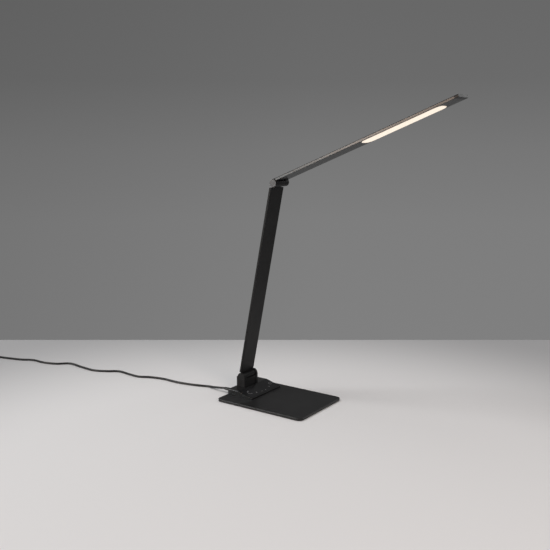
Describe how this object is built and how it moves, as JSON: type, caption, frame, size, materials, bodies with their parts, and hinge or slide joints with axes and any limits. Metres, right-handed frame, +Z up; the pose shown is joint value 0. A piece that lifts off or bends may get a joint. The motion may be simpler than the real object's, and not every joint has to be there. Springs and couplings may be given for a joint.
{
  "type": "folding desk lamp",
  "caption": "Folding desk lamp: weighted base plate with a touch-control wedge, two hinged flat arms and a light panel, with a plug-in adapter on its cord.",
  "frame": {"origin": "centre of the base plate's flat underside", "axes": "+X from the back of the base plate to its front, the way the upper arm reaches, +Y to the lamp's far side, +Z up"},
  "size_m": [0.9182, 0.2907, 0.4684],
  "materials": {
    "pad_foam": "fine-pored soft pad, matt",
    "plate_paint": "satin black powder coat with a fine grain",
    "housing_plastic": "satin black moulded plastic with a fine grain",
    "screw_steel": "zinc-plated steel",
    "film_orange": "thin amber film",
    "panel_gloss": "semi-gloss black panel with small printed icons",
    "board_green": "green solder mask",
    "parts_dark": "dark moulded component bodies",
    "cord_black": "smooth matt black cord jacket",
    "hinge_paint": "satin black painted die casting",
    "bolt_steel": "turned steel",
    "washer_brass": "plain brass",
    "arm_black": "satin black anodised extrusion",
    "screw_black": "blackened steel",
    "lead_black": "flat two-core lead",
    "spring_steel": "spring steel",
    "disc_grey": "satin dark grey hinge disc",
    "board_white": "white solder mask on aluminium",
    "chip_light": "lit phosphor",
    "diffuser_opal": "opal panel lit from behind",
    "cap_plastic": "satin black moulded cap",
    "adapter_plastic": "black moulded case with a fine grain",
    "pin_nickel": "nickel-plated brass"
  },
  "bodies": {
    "base": {"foot_pad": "pad_foam", "base_plate": "plate_paint", "housing_shell": "housing_plastic", "housing_screws": "screw_steel", "sensor_film": "film_orange", "touch_panel": "panel_gloss", "control_board": "board_green", "board_parts": "parts_dark", "board_screws": "screw_steel", "inlet_lead": "cord_black", "hinge_yoke": "hinge_paint", "yoke_screws": "screw_steel", "hinge_bolt": "bolt_steel", "hinge_nut": "bolt_steel", "hinge_washers": "washer_brass", "hinge_caps": "housing_plastic", "strain_relief": "cord_black", "cord_lead": "cord_black", "cord_coil": "cord_black", "adapter_relief": "cord_black", "adapter_case": "adapter_plastic", "adapter_face": "adapter_plastic", "adapter_pins": "pin_nickel", "pin_sleeves": "adapter_plastic", "adapter_board": "board_green", "adapter_parts": "parts_dark"},
    "lower_arm": {"arm_knuckle": "hinge_paint", "lower_arm": "arm_black", "lower_arm_screws": "screw_black", "lower_lead": "lead_black", "elbow_knuckle": "hinge_paint"},
    "upper_arm": {"elbow_fork": "hinge_paint", "elbow_bolt": "bolt_steel", "elbow_nut": "bolt_steel", "elbow_spring": "spring_steel", "elbow_washers": "washer_brass", "elbow_discs": "disc_grey", "upper_arm": "arm_black", "upper_arm_screws": "screw_black", "upper_lead": "lead_black", "led_board": "board_white", "led_chips": "chip_light", "diffuser": "diffuser_opal", "tip_cap": "cap_plastic"}
  },
  "joints": [
    {"name": "base_tilt", "type": "hinge", "parent": "base", "child": "lower_arm", "pos_m": [-0.0674, 0.006, 0.0295], "axis": [0, 1, 0], "range_deg": [-30, 78.7]},
    {"name": "elbow_tilt", "type": "hinge", "parent": "lower_arm", "child": "upper_arm", "pos_m": [-0.00421, 0.006, 0.34575], "axis": [0, 1, 0], "range_deg": [-56.7, 123]}
  ]
}
